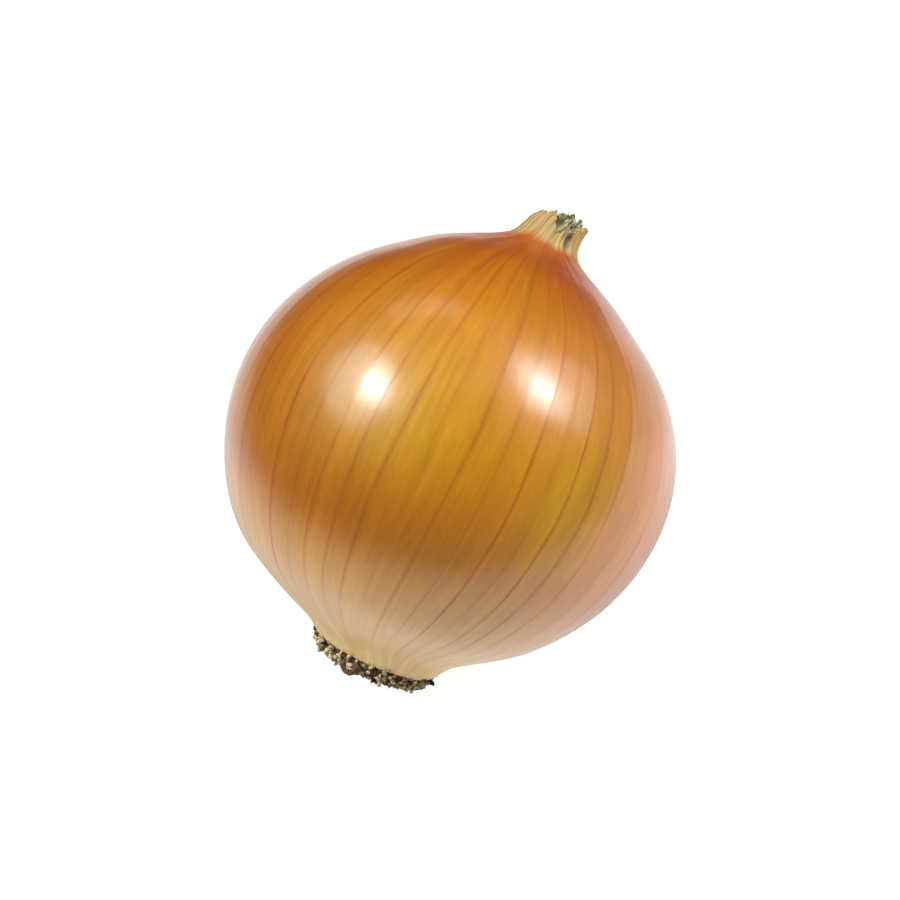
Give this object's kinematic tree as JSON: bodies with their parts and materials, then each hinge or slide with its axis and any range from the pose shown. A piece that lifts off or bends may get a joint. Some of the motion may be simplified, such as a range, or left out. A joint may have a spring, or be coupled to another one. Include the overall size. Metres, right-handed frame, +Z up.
{
  "type": "onion",
  "caption": "Dry brown onion lying on its belly, with a glossy veined skin, a short pleated neck with ragged leaf ends and a plate of root stubs.",
  "frame": {"origin": "centre of the small flat spot on the belly that the onion rests on", "axes": "+Z up; the neck leans towards +X and points about 46 degrees above the horizon, the roots are on the -X side"},
  "size_m": [0.0783, 0.0796, 0.0767],
  "materials": {
    "skin": "gloss",
    "dry_leaf": "matte",
    "dead_root": "matte"
  },
  "bodies": {
    "root": {"bulb": "skin", "neck_leaf_ends": "dry_leaf", "root_plate": "dead_root"}
  },
  "joints": []
}
